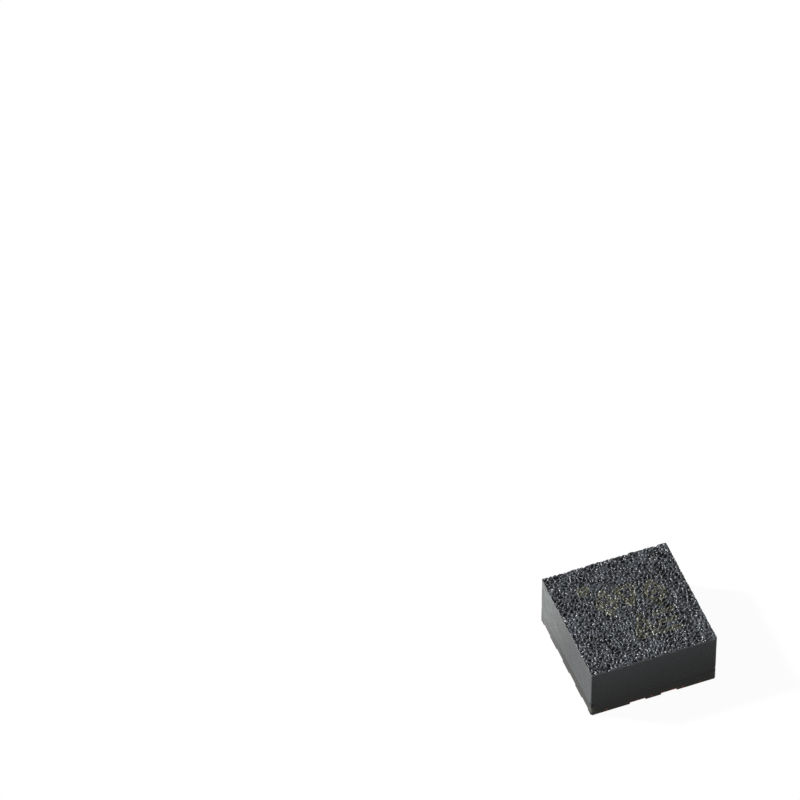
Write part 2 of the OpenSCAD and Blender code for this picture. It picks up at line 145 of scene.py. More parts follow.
laserMarks = {
    "stroke": 48,           # width of a burnt line, whose two rims are the paler part, micrometres
    "hatch": 64,            # spacing of the lines that fill the dot, micrometres
    "depth": 3.5,           # how far it is melted in, micrometres
    "smoothed": 0.3,        # share of the wrinkles that melts away in it
    "soft": 4,              # width over which it fades at its edge, micrometres
    "dot": (-516, 552, 92),  # place and outer radius of the dot, micrometres
    "shapeSize": (150, 228),  # half width and half height of a shape, micrometres
    "upperRow": ((-269, 218), (74, 235), (470, 170)),
    "lowerRow": ((83, -370), (445, -395)),
}


def lineDistance(x, y, a, b):
    ax, ay = a
    bx, by = b
    along = ((x - ax) * (bx - ax) + (y - ay) * (by - ay)) / ((bx - ax) ** 2 + (by - ay) ** 2)
    along = np.clip(along, 0, 1)
    return np.hypot(x - ax - along * (bx - ax), y - ay - along * (by - ay))


def markStrokes():
    # diamonds, triangles and bars, which say nothing
    w, h = laserMarks["shapeSize"]
    diamond = [(0, h), (w, 0), (0, -h), (-w, 0)]
    triangle = [(-w, h * 0.8), (w, h * 0.8), (0, -h * 0.8)]

    def closed(centre, corners, size=1.0):
        spots = [(centre[0] + size * x, centre[1] + size * y) for x, y in corners]
        return list(zip(spots, spots[1:] + spots[:1]))

    def bars(centre, levels, half):
        cx, cy = centre
        return [((cx - half, cy + level), (cx + half, cy + level)) for level in levels]

    first, second, third = laserMarks["upperRow"]
    fourth, fifth = laserMarks["lowerRow"]
    strokes = closed(first, diamond) + bars(first, [0], w * 0.35)
    strokes += closed(second, triangle)
    strokes += closed(third, diamond) + bars(third, [0], w * 0.05)
    strokes += closed(fourth, [(-x, -y) for x, y in triangle], 1.05) + bars(fourth, [-h * 0.35], w * 0.4)
    strokes += bars(fifth, [h * 0.8, 0, -h * 0.8], w)
    return strokes


# the moulded body

body = {
    "cornerRadius": 22,     # micrometres, where two saw cuts meet
    # rows of cells on a sawn side, micrometres: the first below the top, then two runs of start, end and count; a run
    # starts from the top or a height and ends at a height or above the board's coat
    "firstRow": 54,
    "upperRows": (80, 370, 10),
    "lowerRows": (345, 5, 12),
    "saw": 0.8,             # waviness of the sawn sides, micrometres
    "sawMost": 1.5,         # depth at which it is cut off, micrometres
    "sawWave": (70, 0.8, 5),  # its wavelength in micrometres, the spread of it and its seed
    "sawGrid": (512, 8),    # cells of the field it is read from, and their size in micrometres
    "sawFade": (90, 150),   # it fades out this far from the upper and the lower edge, micrometres
    "breaks": 0.006,        # how far the board's corners are broken in at most, as a share of half the side
    "solidDepth": 30,       # the solid's top points lie this close below its highest, micrometres
    # chips out of the upright corners: side in x, side in y, height, reach and depth, micrometres
    "chips": ((-1, -1, 262, 24, 13), (-1, -1, 222, 15, 9), (-1, -1, 330, 10, 5), (1, -1, 236, 20, 9),
              (-1, 1, 300, 18, 8), (1, 1, 250, 26, 11), (1, 1, 520, 12, 6), (-1, -1, 760, 10, 5)),
}


def mouldShell(cadNode):
    cells = topSkin["cells"]
    step = 2 * halfSide / cells
    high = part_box(cadNode.name)[1]
    half = high.x
    topZ = high.z
    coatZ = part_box("solder_mask_top")[1].z
    relief = mouldedRelief()
    axis = np.arange(cells + 1) * step - halfSide
    x, y = np.meshgrid(axis, axis, indexing="ij")
    far = np.full(x.shape, 1e6)
    for a, b in markStrokes():
        far = np.minimum(far, lineDistance(x, y, a, b))
    far -= laserMarks["stroke"] / 2
    cx, cy, r = laserMarks["dot"]
    hatch = laserMarks["hatch"]
    lines = np.abs((y - cy) % hatch - hatch / 2) - hatch / 5
    far = np.minimum(far, np.maximum(np.hypot(x - cx, y - cy) - r, lines))
    burnt = 1 / (1 + np.exp(far / laserMarks["soft"]))
    relief = relief * (1 - laserMarks["smoothed"] * burnt) - laserMarks["depth"] * burnt
    relief = np.clip(relief, topSkin["lowest"], topSkin["highest"])
    # the blade takes the highest points off along the cut
    inward = halfSide - np.maximum(np.abs(x), np.abs(y))
    share, cutReach = topSkin["trimmed"]
    relief -= np.maximum(relief, 0) * share * np.exp(-inward / cutReach)
    topLevel = relief + solidTop(cadNode, axis, body["solidDepth"])
    points = [np.stack([x.ravel(), y.ravel(), topLevel.ravel()], 1)]
    grid = np.arange((cells + 1) ** 2).reshape(cells + 1, cells + 1)
    quads = np.stack([grid[:-1, :-1], grid[1:, :-1], grid[1:, 1:], grid[:-1, 1:]], -1).reshape(-1, 4)
    faces = quads.tolist()
    # 0 is the moulded top, 1 a sawn side, 2 the flat rest: the lowest strips of the sides, the underside, the inside
    kinds = [0] * len(faces)

    # ring of the top's border, anticlockwise from (-x, -y)
    border = np.concatenate([grid[:-1, 0], grid[-1, :-1], grid[:0:-1, -1], grid[0, :0:-1]])
    # the sides' columns, in grid cells along an edge: every third, and closer together at the corners
    marks = [0, 1, 2, 4] + list(range(7, cells - 6, 3)) + [cells - 4, cells - 2, cells - 1]
    stops = np.concatenate([np.array(marks) + side * cells for side in range(4)])
    edge = points[0][border]
    upper, lower = body["upperRows"], body["lowerRows"]
    heights = np.concatenate([
        [topZ / um - body["firstRow"]], np.linspace(topZ / um - upper[0], upper[1], upper[2]),
        np.linspace(lower[0], coatZ / um + lower[1], lower[2])])
    columns = len(stops)
    # columns read this field one cell apart, rows five
    waveCells, waveStep = body["sawGrid"]
    wave = bandNoise(waveCells, waveStep, *body["sawWave"])
    base = len(points[0])
    rowPoints = []
    for row, z in enumerate(heights):
        ring = edge[stops].copy()
        fade = min(1.0, (topZ / um - z) / body["sawFade"][0]) * min(1.0, (z - coatZ / um) / body["sawFade"][1])
        push = body["saw"] * fade * wave[np.arange(columns) % waveCells, (row * 5) % waveCells]
        push = np.maximum(push, -body["sawMost"])
        for axisNo in (0, 1):
            on = np.abs(ring[:, axisNo]) > halfSide - 0.001
            ring[on, axisNo] -= np.sign(ring[on, axisNo]) * np.abs(push[on])
        ring[:, 2] = z - topZ / um
        rowPoints.append(ring)
    points.append(np.concatenate(rowPoints))
    total = len(border)
    for c in range(columns):
        nxt = (c + 1) % columns
        run = [int(border[i % total]) for i in range(stops[c], (stops[nxt] if nxt else total) + 1)]
        faces.append([base + nxt, *reversed(run), base + c])
        kinds.append(1)
        for row in range(len(heights) - 1):
            a, b = base + row * columns, base + (row + 1) * columns
            faces.append([a + c, b + c, b + nxt, a + nxt])
            kinds.append(1)

    # soften the four upright corners
    cloud = np.concatenate(points)
    r = body["cornerRadius"]
    out = np.maximum(np.abs(cloud[:, :2]) - (halfSide - r), 0)
    both = (out > 0).all(1)
    longest = out[both].max(1)
    scale = longest / np.hypot(out[both, 0], out[both, 1])
    cloud[both, :2] = np.sign(cloud[both, :2]) * (halfSide - r + out[both] * scale[:, None])
    cloud[:, 2] += topZ / um
    # a chip goes in along x and y at once, so each takes 0.7 of its depth
    for sideX, sideY, z, chipReach, deep in body["chips"]:
        away = np.linalg.norm(cloud - [sideX * halfSide, sideY * halfSide, z], axis=1)
        cloud[:, :2] -= np.outer(deep * np.exp(-(away / chipReach) ** 2), [sideX, sideY]) * 0.7
    cloud *= um
    outer = len(cloud)

    # the underside and the inside come from the CAD node as they are; points within 0.02 micrometres are one
    mesh = cadNode.data
    coords = np.array([v.co for v in mesh.vertices])
    keys = np.round(coords / (0.02 * um)).astype(np.int64)
    firsts, back = np.unique(keys, axis=0, return_index=True, return_inverse=True)[1:]
    back = back.ravel()
    found = coords[firsts]
    inner = found.copy()
    tol = 0.05 * um
    corner = {}
    for k, v in enumerate(found):
        if abs(v[2] - coatZ) < tol and abs(abs(v[0]) - half) < tol and abs(abs(v[1]) - half) < tol:
            corner[(v[0] > 0, v[1] > 0)] = outer + k
            # the middle of a rounded corner lies 0.3 of its radius further in
            inner[k, :2] *= 1 - 0.3 * r * um / half
    # the lower edge of a side keeps to the saw cut between its two rounded corners
    order = [(False, False), (True, False), (True, True), (False, True)]
    between = {}
    for k in range(4):
        ends = corner[order[k]], corner[order[(k + 1) % 4]]
        start, stop = (found[v - outer] for v in ends)
        inset = (stop - start) / np.linalg.norm(stop - start) * r * um
        between[ends] = [outer + len(inner), outer + len(inner) + 1]
        inner = np.concatenate([inner, [start + inset, stop - inset]])

    def withBetween(loop):
        made = []
        for a, b in zip(loop, loop[1:] + loop[:1]):
            made += [a] + between.get((a, b), between.get((b, a), [])[::-1])
        return made

    for poly in mesh.polygons:
        loop = [int(back[v]) for v in poly.vertices]
        spot = found[loop]
        if (spot[:, 2] > topZ - body["solidDepth"] * um).all():
            continue
        if any((np.abs(np.abs(spot[:, k]) - half) < tol).all() and np.ptp(spot[:, k]) < tol for k in (0, 1)):
            continue
        if len(set(loop)) == len(loop):
            faces.append(withBetween([outer + v for v in loop]))
            kinds.append(2)
    lastRow = base + (len(heights) - 1) * columns
    perSide = len(marks)
    for k in range(4):
        run = [lastRow + (k * perSide + i) % columns for i in range(perSide + 1)]
        faces.append(withBetween([*reversed(run), corner[order[k]], corner[order[(k + 1) % 4]]]))
        kinds.append(2)
    cloud = np.concatenate([cloud, inner])
    made = bpy.data.meshes.new("mouldShell")
    made.from_pydata(cloud.tolist(), [], faces)
    made.polygons.foreach_set("material_index", kinds)
    # fields for the finishes: distance from a burnt line, height of the wrinkles, and 1 on the top and its edge
    for name, values, rest in (
            ("markDistance", far, 1000.0), ("rimHeight", relief, -8.0), ("topEdge", np.ones(far.shape), 0.0)):
        field = np.full(len(cloud), rest)
        field[:values.size] = values.ravel()
        made.attributes.new(name, "FLOAT", "POINT").data.foreach_set("value", field.astype(np.float32))
    made.validate()
    made.update()
    made.polygons.foreach_set("use_smooth", np.array(kinds) < 2)
    ends = np.array([e.vertices[:] for e in made.edges])
    onTop = np.zeros(len(cloud), bool)
    onTop[border] = True
    made.attributes.new("sharp_edge", "BOOLEAN", "EDGE").data.foreach_set("value", onTop[ends].all(1))
    shell = bpy.data.objects.new("mouldShell", made)
    bpy.context.scene.collection.objects.link(shell)
    return shell


mouldPiece = mouldShell(nodes["mould_body"])
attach(mouldPiece, "root")
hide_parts("mould_body")
mouldPiece.data.calc_loop_triangles()
print("mould built:", len(mouldPiece.data.loop_triangles), "triangles")


# the board and its coats, with the same rounded corners and small breaks where the blade left them

def roundedBand(name):
    made = nodes[name].data.copy()
    made.name = name + "Rounded"
    work = bmesh.new()
    work.from_mesh(made)
    # bevels are cut in micrometres, since in metres they are too small for it
    bmesh.ops.scale(work, vec=(1e6, 1e6, 1e6), verts=work.verts)
    bmesh.ops.remove_doubles(work, verts=work.verts, dist=0.02)
    half = max(v.co.x for v in work.verts)
    upright = [e for e in work.edges if min(abs(e.verts[0].co.x), abs(e.verts[0].co.y)) > half - 0.1
               and (e.verts[0].co - e.verts[1].co).xy.length < 0.1]
    r = body["cornerRadius"]
    bmesh.ops.bevel(work, geom=upright, offset=r, offset_type="OFFSET", segments=6, profile=0.5, affect="EDGES")
    rng = np.random.default_rng(len(name))
    for v in sorted(work.verts, key=lambda v: (round(v.co.z, 1), math.atan2(v.co.y, v.co.x))):
        if min(abs(v.co.x), abs(v.co.y)) > half - r + 0.5:
            v.co.xy *= 1 - body["breaks"] * rng.random() ** 2
    bmesh.ops.scale(work, vec=(um, um, um), verts=work.verts)
    work.to_mesh(made)
    work.free()
    made.shade_flat()
    band = bpy.data.objects.new(made.name, made)
    bpy.context.scene.collection.objects.link(band)
    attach(band, "root")
    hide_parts(name)
    return band


slotOf = {row["node"]: row["material_slot"] for row in frame["record"]["subparts"]}
bands = {name: roundedBand(name) for name in ("laminate_core", "solder_mask_top", "solder_mask_bottom")}
print("bands built:", [len(band.data.polygons) for band in bands.values()])


# finishes

def epoxyMouldedTop():
    # epoxy moulding compound off a spark-eroded tool: near black, each rim with its own glint; painted shade darkens
    # the hollows and a painted highlight greys the rims
    finish, tree, shader, place = newFinish("epoxyMouldedTop", IOR=1.35, Roughness=0.24)
    # painted shade and painted highlight: by the wrinkles' height, from near black in the hollows to grey on the rims
    rim = addNode(tree, "ShaderNodeAttribute", attribute_name="rimHeight")
    level = addNode(tree, "ShaderNodeMapRange", {"Value": rim.outputs["Fac"], "From Min": -8.5, "From Max": 10.0})
    tone = addNode(tree, "ShaderNodeMix", {
        "Factor": level.outputs[0], "A": hexColour("#030304"), "B": hexColour("#474b51")}, data_type="RGBA")
    # the compound's fine grain
    grain = addNode(tree, "ShaderNodeTexNoise", {"Vector": place, "Scale": 1 / (9 * um), "Detail": 3.0})
    # burnt lines, in micrometres from their edge, which wanders: two olive rims and a little olive between
    ragged = addNode(tree, "ShaderNodeTexNoise", {"Vector": place, "Scale": 1 / (22 * um), "Detail": 2.0})
    fromMark = addNode(tree, "ShaderNodeAttribute", attribute_name="markDistance")
    shift = addNode(tree, "ShaderNodeMath", {0: ragged.outputs["Fac"], 1: 80.0, 2: -40.0}, operation="MULTIPLY_ADD")
    edge = addNode(tree, "ShaderNodeMath", {0: fromMark.outputs["Fac"], 1: shift.outputs[0]}, operation="ADD")
    fromRim = addNode(tree, "ShaderNodeMath", {0: edge.outputs[0]}, operation="ABSOLUTE")
    rims = addNode(tree, "ShaderNodeMapRange", {
        "Value": fromRim.outputs[0], "From Min": 10.0, "From Max": 3.0, "To Max": 0.9})
    melted = addNode(tree, "ShaderNodeMapRange", {
        "Value": edge.outputs[0], "From Min": 0.0, "From Max": -12.0, "To Max": 0.1})
    burnt = addNode(tree, "ShaderNodeMath", {0: rims.outputs[0], 1: melted.outputs[0]}, operation="MAXIMUM")
    olive = addNode(tree, "ShaderNodeMix", {
        "Factor": burnt.outputs[0], "A": tone.outputs["Result"], "B": hexColour("#66654d")}, data_type="RGBA")
    bump = addNode(tree, "ShaderNodeBump", {
        "Height": grain.outputs["Fac"], "Strength": 0.6, "Distance": 1.5 * um})
    tree.links.new(olive.outputs["Result"], shader.inputs["Base Color"])
    tree.links.new(bump.outputs[0], shader.inputs["Normal"])
    return finish


def endFaceShare(tree, place):
    # 1 on the two faces across x
    parts = addNode(tree, "ShaderNodeSeparateXYZ", {0: place})
    outX = addNode(tree, "ShaderNodeMath", {0: parts.outputs["X"]}, operation="ABSOLUTE")
    return addNode(tree, "ShaderNodeMath", {
        0: outX.outputs[0], 1: sawnAt - 12 * um}, operation="GREATER_THAN").outputs[0]


def fromMiddle(tree, place, which):
    # the larger or the smaller of the distances from the middle along x and y
    parts = addNode(tree, "ShaderNodeSeparateXYZ", {0: place})
    outX = addNode(tree, "ShaderNodeMath", {0: parts.outputs["X"]}, operation="ABSOLUTE")
    outY = addNode(tree, "ShaderNodeMath", {0: parts.outputs["Y"]}, operation="ABSOLUTE")
    return addNode(tree, "ShaderNodeMath", {0: outX.outputs[0], 1: outY.outputs[0]}, operation=which).outputs[0]


def sawnShare(tree, place):
    # 1 on the four sawn faces
    out = fromMiddle(tree, place, "MAXIMUM")
    return addNode(tree, "ShaderNodeMath", {0: out, 1: sawnAt - 8 * um}, operation="GREATER_THAN").outputs[0]


def paintedSheen(tree, place, under):
    # painted sheen: a pale, cloudy layer on the two faces across x, paler towards the back, standing in for light on
    # them
    parts = addNode(tree, "ShaderNodeSeparateXYZ", {0: place})
    cloud = addNode(tree, "ShaderNodeTexNoise", {"Vector": place, "Scale": 1 / (95 * um), "Detail": 5.0})
    cloud = addNode(tree, "ShaderNodeMapRange", {
        "Value": cloud.outputs["Fac"], "From Min": 0.3, "From Max": 0.7, "To Min": 0.28, "To Max": 0.74})
    # it reaches further forward higher up
    spread = addNode(tree, "ShaderNodeMath", {
        0: parts.outputs["Z"], 1: 0.4, 2: parts.outputs["Y"]}, operation="MULTIPLY_ADD")
    ramp = addNode(tree, "ShaderNodeMapRange", {
        "Value": spread.outputs[0], "From Min": -0.06 * mm, "From Max": 1.3 * mm}, interpolation_type="SMOOTHSTEP")
    sheenShare = addNode(tree, "ShaderNodeMath", {0: ramp.outputs[0], 1: endFaceShare(tree, place)}, operation="MULTIPLY")
    sheenShare = addNode(tree, "ShaderNodeMath", {0: sheenShare.outputs[0], 1: cloud.outputs[0]}, operation="MULTIPLY")
    return addNode(tree, "ShaderNodeMix", {
        "Factor": sheenShare.outputs[0], "A": under, "B": hexColour("#6c716f")}, data_type="RGBA").outputs["Result"]


def epoxySawnSide(low, high):
    # the same compound cut by a diamond blade: cut silica grains, smoother than what holds them, and dull
    # enough that the sawn face only brightens at a flat angle
    finish, tree, shader, place = newFinish("epoxySawnSide", IOR=1.22)
    parts = addNode(tree, "ShaderNodeSeparateXYZ", {0: place})
    # silica grains up to 40 micrometres across, most of them smaller and not quite round
    warp = addNode(tree, "ShaderNodeTexNoise", {"Vector": place, "Scale": 1 / (26 * um), "Detail": 2.0})
    grain = addNode(tree, "ShaderNodeTexVoronoi", {"Vector": place, "Scale": 1 / (38 * um)})
    sizes = addNode(tree, "ShaderNodeMath", {
        0: warp.outputs["Fac"], 1: 2.2, 2: grain.outputs["Distance"]}, operation="MULTIPLY_ADD")
    spot = addNode(tree, "ShaderNodeMapRange", {"Value": sizes.outputs[0], "From Min": 1.36, "From Max": 1.2})
    small = addNode(tree, "ShaderNodeTexNoise", {"Vector": place, "Scale": 1 / (16 * um), "Detail": 3.0})
    # painted shade: the sawn sides darken towards the bottom, and their pale grains fade out there too
    depth = addNode(tree, "ShaderNodeMapRange", {"Value": parts.outputs["Z"], "From Min": low.z, "From Max": high.z})
    # the painted shade is weaker on the two faces across x, which stay paler lower down
    least = addNode(tree, "ShaderNodeMath", {0: endFaceShare(tree, place), 1: 0.75}, operation="MULTIPLY")
    shade = addNode(tree, "ShaderNodeMath", {0: depth.outputs[0], 1: least.outputs[0]}, operation="MAXIMUM")
    matrix = addNode(tree, "ShaderNodeMix", {
        "Factor": shade.outputs[0], "A": hexColour("#030403"), "B": hexColour("#26292b")}, data_type="RGBA")
    pale = addNode(tree, "ShaderNodeMath", {0: spot.outputs[0], 1: depth.outputs[0]}, operation="MULTIPLY")
    tone = addNode(tree, "ShaderNodeMix", {
        "Factor": pale.outputs[0], "A": matrix.outputs["Result"], "B": hexColour("#2e3030")}, data_type="RGBA")
    # painted highlight: a thin paler line in places along the upper edge
    topEdge = addNode(tree, "ShaderNodeAttribute", attribute_name="topEdge")
    paler = addNode(tree, "ShaderNodeMath", {0: small.outputs["Fac"], 1: topEdge.outputs["Fac"]}, operation="ADD")
    paleEdge = addNode(tree, "ShaderNodeMapRange", {
        "Value": paler.outputs[0], "From Min": 1.14, "From Max": 1.45, "To Max": 0.8})
    tone = addNode(tree, "ShaderNodeMix", {
        "Factor": paleEdge.outputs[0], "A": tone.outputs["Result"], "B": hexColour("#6b6e6f")}, data_type="RGBA")
    rough = addNode(tree, "ShaderNodeMapRange", {
        "Value": small.outputs["Fac"], "From Min": 0.3, "From Max": 0.7, "To Min": 0.16, "To Max": 0.36})
    fine = addNode(tree, "ShaderNodeTexNoise", {"Vector": place, "Scale": 1 / (9 * um), "Detail": 2.0})
    bump = addNode(tree, "ShaderNodeBump", {
        "Height": fine.outputs["Fac"], "Strength": 0.4, "Distance": 0.8 * um})
    # the painted sheen goes over this colour on the two faces across x
    tree.links.new(paintedSheen(tree, place, tone.outputs["Result"]), shader.inputs["Base Color"])
    tree.links.new(rough.outputs[0], shader.inputs["Roughness"])
    tree.links.new(bump.outputs[0], shader.inputs["Normal"])
    return finish


def glassEpoxySawn():
    # glass-epoxy laminate through a saw cut: dark resin, bundles of glass ends as fine paler lens shapes
    finish, tree, shader, place = newFinish("glassEpoxySawn", IOR=1.2, Roughness=0.3)
    squash = addNode(tree, "ShaderNodeMapping", {"Vector": place, "Scale": (1.0, 1.0, 6.0)})
    bundle = addNode(tree, "ShaderNodeTexVoronoi", {"Vector": squash.outputs[0], "Scale": 1 / (240 * um)})
    lens = addNode(tree, "ShaderNodeMapRange", {
        "Value": bundle.outputs["Distance"], "From Min": 0.55, "From Max": 0.3})
    # glass ends are 7 micrometres across and are drawn at 11, so that they show
    ends = addNode(tree, "ShaderNodeTexVoronoi", {"Vector": place, "Scale": 1 / (11 * um)})
    dots = addNode(tree, "ShaderNodeMapRange", {
        "Value": ends.outputs["Distance"], "From Min": 0.5, "From Max": 0.25})
    both = addNode(tree, "ShaderNodeMath", {0: lens.outputs[0], 1: dots.outputs[0]}, operation="MULTIPLY")
    tone = addNode(tree, "ShaderNodeMix", {
        "Factor": both.outputs[0], "A": hexColour("#0e0e0b"), "B": hexColour("#23201a")}, data_type="RGBA")
    # paler, olive resin and broken glass at the corners
    broken = addNode(tree, "ShaderNodeTexNoise", {"Vector": place, "Scale": 1 / (28 * um), "Detail": 4.0})
    near = addNode(tree, "ShaderNodeMapRange", {
        "Value": fromMiddle(tree, place, "MINIMUM"), "From Min": 0.86 * mm, "From Max": sawnAt,
        "To Min": -0.3, "To Max": 0.3})
    frayed = addNode(tree, "ShaderNodeMath", {0: broken.outputs["Fac"], 1: near.outputs[0]}, operation="ADD")
    frayed = addNode(tree, "ShaderNodeMapRange", {"Value": frayed.outputs[0], "From Min": 0.5, "From Max": 0.75})
    paler = addNode(tree, "ShaderNodeMix", {
        "Factor": frayed.outputs[0], "A": tone.outputs["Result"], "B": hexColour("#444339")}, data_type="RGBA")
    bump = addNode(tree, "ShaderNodeBump", {
        "Height": dots.outputs[0], "Strength": 0.4, "Distance": 0.8 * um})
    # the painted sheen goes over this colour on the two faces across x
    tree.links.new(paintedSheen(tree, place, paler.outputs["Result"]), shader.inputs["Base Color"])
    tree.links.new(bump.outputs[0], shader.inputs["Normal"])
    return finish


def solderCoatCured():
    # solder coat, printed wet and cured: dark green, satin, the weave of the board showing through faintly
    finish, tree, shader, place = newFinish("solderCoatCured", IOR=1.2, Roughness=0.36)
    weave = addNode(tree, "ShaderNodeTexNoise", {"Vector": place, "Scale": 1 / (160 * um), "Detail": 1.0})
    grain = addNode(tree, "ShaderNodeTexNoise", {"Vector": place, "Scale": 1 / (18 * um), "Detail": 3.0})
    tone = addNode(tree, "ShaderNodeMix", {
        "Factor": weave.outputs["Fac"], "A": hexColour("#0f1d15"), "B": hexColour("#1d3226")}, data_type="RGBA")
    # copper that the blade drags along tints the sawn edge of the lower coat
    parts = addNode(tree, "ShaderNodeSeparateXYZ", {0: place})
    under = addNode(tree, "ShaderNodeMath", {0: parts.outputs["Z"], 1: 0.1 * mm}, operation="LESS_THAN")
    cut = addNode(tree, "ShaderNodeMix", {
        "Factor": under.outputs[0], "A": hexColour("#161817"), "B": hexColour("#20130e")}, data_type="RGBA")
    edge = addNode(tree, "ShaderNodeMix", {
        "Factor": sawnShare(tree, place), "A": tone.outputs["Result"], "B": cut.outputs["Result"]}, data_type="RGBA")
    # the coat stands a little higher over the copper plane in the middle
    plateau = addNode(tree, "ShaderNodeMapRange", {
        "Value": fromMiddle(tree, place, "MAXIMUM"), "From Min": planeEdge + 22 * um,
        "From Max": planeEdge - 8 * um}, interpolation_type="SMOOTHSTEP")
    level = addNode(tree, "ShaderNodeMath", {
        0: plateau.outputs[0], 1: 5.0, 2: grain.outputs["Fac"]}, operation="MULTIPLY_ADD")
    bump = addNode(tree, "ShaderNodeBump", {
        "Height": level.outputs[0], "Strength": 0.5, "Distance": 2.0 * um})
    # the painted sheen goes over this colour on the two faces across x
    tree.links.new(paintedSheen(tree, place, edge.outputs["Result"]), shader.inputs["Base Color"])
    tree.links.new(bump.outputs[0], shader.inputs["Normal"])
    return finish


def goldOnCopper():
    # lands: gold over nickel over copper, fine-grained from the plating bath; the saw cut shows copper,
    # dull brown and bright in small patches
    finish, tree, shader, place = newFinish("goldOnCopper", Metallic=1.0, Roughness=0.33)
    patch = addNode(tree, "ShaderNodeTexNoise", {"Vector": place, "Scale": 1 / (55 * um), "Detail": 3.0})
    brightCopper = addNode(tree, "ShaderNodeMapRange", {"Value": patch.outputs["Fac"], "From Min": 0.48, "From Max": 0.76})
    copper = addNode(tree, "ShaderNodeMix", {
        "Factor": brightCopper.outputs[0], "A": hexColour("#351a14"), "B": hexColour("#a94d33")}, data_type="RGBA")
    grain = addNode(tree, "ShaderNodeTexNoise", {"Vector": place, "Scale": 1 / (14 * um), "Detail": 4.0})
    gold = addNode(tree, "ShaderNodeMix", {
        "Factor": grain.outputs["Fac"], "A": hexColour("#cfa35a"), "B": hexColour("#e9c887")}, data_type="RGBA")
    tone = addNode(tree, "ShaderNodeMix", {
        "Factor": sawnShare(tree, place), "A": gold.outputs["Result"], "B": copper.outputs["Result"]}, data_type="RGBA")
    bump = addNode(tree, "ShaderNodeBump", {
        "Height": grain.outputs["Fac"], "Strength": 0.3, "Distance": 1.0 * um})
    tree.links.new(tone.outputs["Result"], shader.inputs["Base Color"])
    tree.links.new(bump.outputs[0], shader.inputs["Normal"])
    return finish


def twoTone(tree, shader, pattern, low, high, depth):
    # two tones and a relief from one pattern; depth in micrometres
    tone = addNode(tree, "ShaderNodeMix", {
        "Factor": pattern, "A": hexColour(low), "B": hexColour(high)}, data_type="RGBA")
    bump = addNode(tree, "ShaderNodeBump", {"Height": pattern, "Strength": 0.4, "Distance": depth * um})
    tree.links.new(tone.outputs["Result"], shader.inputs["Base Color"])
    tree.links.new(bump.outputs[0], shader.inputs["Normal"])
    return tone.outputs["Result"]


def copperPlated():
    # board copper, plated and then roughened so that the moulding grips it: matt pink-brown, darker in the pores
    finish, tree, shader, place = newFinish("copperPlated", Metallic=1.0, Roughness=0.42)
    nodules = addNode(tree, "ShaderNodeTexVoronoi", {"Vector": place, "Scale": 1 / (7 * um)})
    stain = addNode(tree, "ShaderNodeTexNoise", {"Vector": place, "Scale": 1 / (60 * um), "Detail": 3.0})
    both = addNode(tree, "ShaderNodeMath", {
        0: nodules.outputs["Distance"], 1: stain.outputs["Fac"]}, operation="MULTIPLY")
    plated = twoTone(tree, shader, both.outputs[0], "#cf8460", "#8a4632", 1.5)
    # sawn ends are darker
    cut = addNode(tree, "ShaderNodeMix", {
        "Factor": sawnShare(tree, place), "A": plated, "B": hexColour("#7a3626")}, data_type="RGBA")
    tree.links.new(cut.outputs["Result"], shader.inputs["Base Color"])
    return finish


def filmCured():
    # die-attach film: buff resin packed with silica, squeezed flat, its cut edge dull
    finish, tree, shader, place = newFinish("filmCured", Roughness=0.6)
    flour = addNode(tree, "ShaderNodeTexVoronoi", {"Vector": place, "Scale": 1 / (5 * um)})
    flow = addNode(tree, "ShaderNodeTexNoise", {"Vector": place, "Scale": 1 / (90 * um), "Detail": 2.0})
    both = addNode(tree, "ShaderNodeMath", {
        0: flour.outputs["Distance"], 1: 0.5, 2: flow.outputs["Fac"]}, operation="MULTIPLY_ADD")
    twoTone(tree, shader, both.outputs[0], "#9d916f", "#cdc3a4", 0.8)
    return finish


def siliconPassivated():
    # circuit die: blocks of cells under glass, whose thickness tints them violet to blue; its cut sides are grey
    finish, tree, shader, place = newFinish("siliconPassivated", IOR=2.0, Roughness=0.18)
    blocks = addNode(tree, "ShaderNodeTexVoronoi", {
        "Vector": place, "Scale": 1 / (105 * um), "Randomness": 0.85}, distance="CHEBYCHEV", voronoi_dimensions="2D")
    kind = addNode(tree, "ShaderNodeSeparateXYZ", {0: blocks.outputs["Color"]})
    tint = addNode(tree, "ShaderNodeMix", {
        "Factor": kind.outputs["X"], "A": hexColour("#1f2338"), "B": hexColour("#5a4b62")}, data_type="RGBA")
    # real cells are under 1 micrometre, so rows of them are drawn 7 apart
    rows = addNode(tree, "ShaderNodeTexWave", {
        "Vector": place, "Scale": waveRepeat / (7 * um), "Distortion": 0.6, "Detail": 1.0}, bands_direction="Y")
    busy = addNode(tree, "ShaderNodeMath", {
        0: rows.outputs["Fac"], 1: kind.outputs["Y"]}, operation="MULTIPLY")
    lit = addNode(tree, "ShaderNodeMix", {
        "Factor": busy.outputs[0], "A": tint.outputs["Result"], "B": hexColour("#5b6478")}, data_type="RGBA")
    parts = addNode(tree, "ShaderNodeSeparateXYZ", {0: place})
    face = addNode(tree, "ShaderNodeMath", {
        0: parts.outputs["Z"], 1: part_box("asic_die")[1].z - 1 * um}, operation="GREATER_THAN")
    tone = addNode(tree, "ShaderNodeMix", {
        "Factor": face.outputs[0], "A": hexColour("#54565c"), "B": lit.outputs["Result"]}, data_type="RGBA")
    bump = addNode(tree, "ShaderNodeBump", {"Height": busy.outputs[0], "Strength": 0.4, "Distance": 0.6 * um})
    tree.links.new(tone.outputs["Result"], shader.inputs["Base Color"])
    tree.links.new(bump.outputs[0], shader.inputs["Normal"])
    return finish


